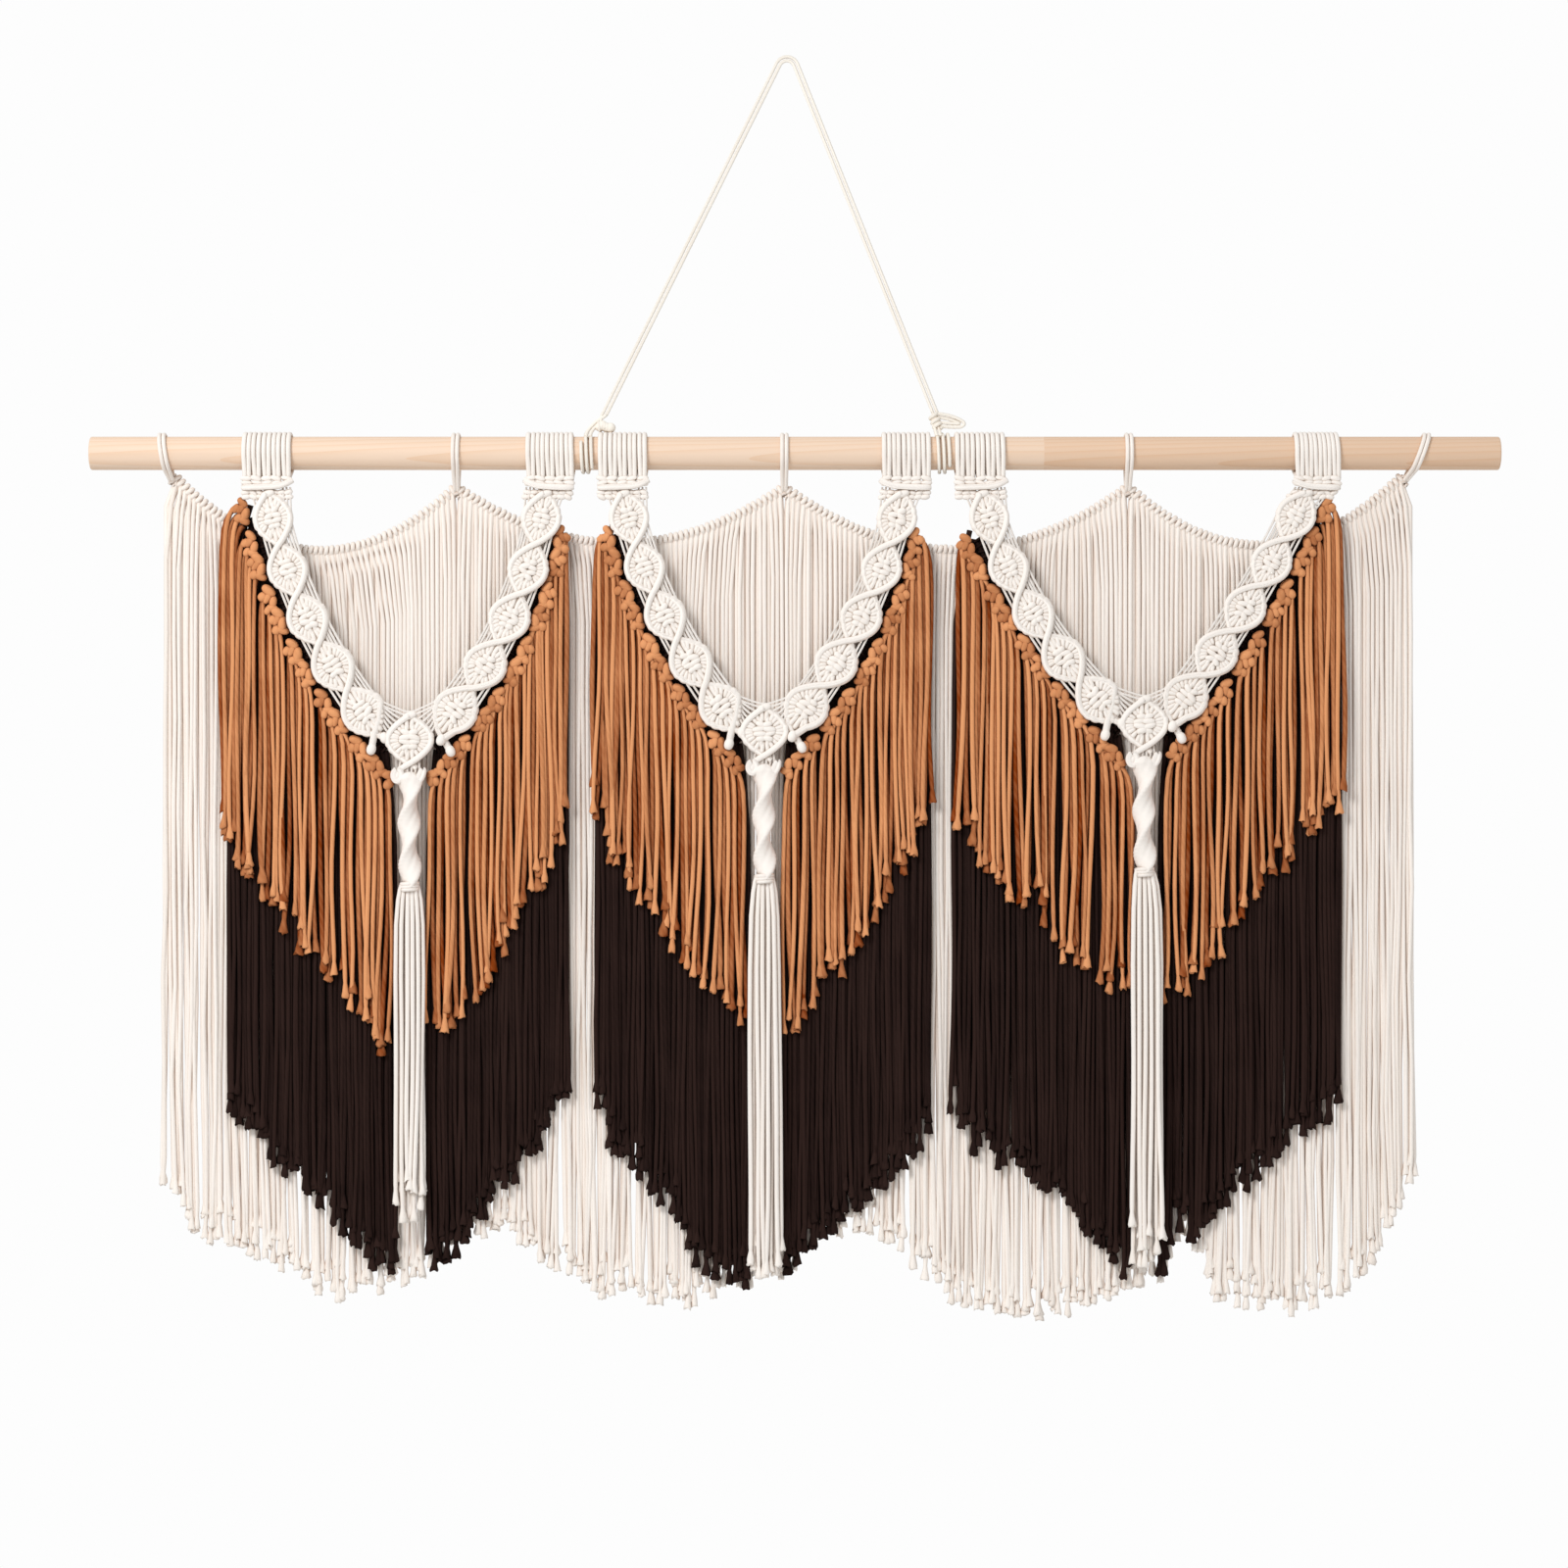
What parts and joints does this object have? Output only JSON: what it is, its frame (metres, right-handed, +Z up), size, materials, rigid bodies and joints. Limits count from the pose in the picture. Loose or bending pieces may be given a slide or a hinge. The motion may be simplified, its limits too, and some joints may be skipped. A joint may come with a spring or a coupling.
{
  "type": "macrame wall hanging with its wooden rod",
  "caption": "Knotted cotton straps, layered fringes and a swagged back curtain hung on a round wooden rod with a cord to hang it by.",
  "frame": {"origin": "the top of the hanging cord, where a nail or hook holds it", "axes": "+X along the rod to the viewer's right, +Y towards the wall, +Z up"},
  "size_m": [1.06, 0.0376, 0.9506],
  "materials": {
    "pine": "bare, sanded",
    "white_cotton": "single-twist cotton cord, matt",
    "cream_cotton": "single-twist cotton cord, matt",
    "brown_cotton": "dyed cotton cord, matt",
    "dark_cotton": "dyed cotton cord, matt"
  },
  "bodies": {
    "root": {"rod": "pine", "hang_cord_outer": "white_cotton", "hang_cord_inner": "white_cotton", "hang_knot_left": "white_cotton", "hang_knot_right": "white_cotton", "curtain_loop_1": "cream_cotton", "curtain_loop_2": "cream_cotton", "curtain_loop_3": "cream_cotton", "curtain_loop_4": "cream_cotton", "curtain_loop_5": "cream_cotton", "curtain_1": "cream_cotton", "curtain_2": "cream_cotton", "curtain_3": "cream_cotton", "curtain_4": "cream_cotton", "strap_1_left": "white_cotton", "strap_1_right": "white_cotton", "strap_2_left": "white_cotton", "strap_2_right": "white_cotton", "strap_3_left": "white_cotton", "strap_3_right": "white_cotton", "diamond_1": "white_cotton", "diamond_2": "white_cotton", "diamond_3": "white_cotton", "brown_1_left": "brown_cotton", "brown_1_right": "brown_cotton", "brown_2_left": "brown_cotton", "brown_2_right": "brown_cotton", "brown_3_left": "brown_cotton", "brown_3_right": "brown_cotton", "dark_1_left": "dark_cotton", "dark_1_right": "dark_cotton", "dark_2_left": "dark_cotton", "dark_2_right": "dark_cotton", "dark_3_left": "dark_cotton", "dark_3_right": "dark_cotton", "tassel_1": "white_cotton", "tassel_2": "white_cotton", "tassel_3": "white_cotton"}
  },
  "joints": []
}
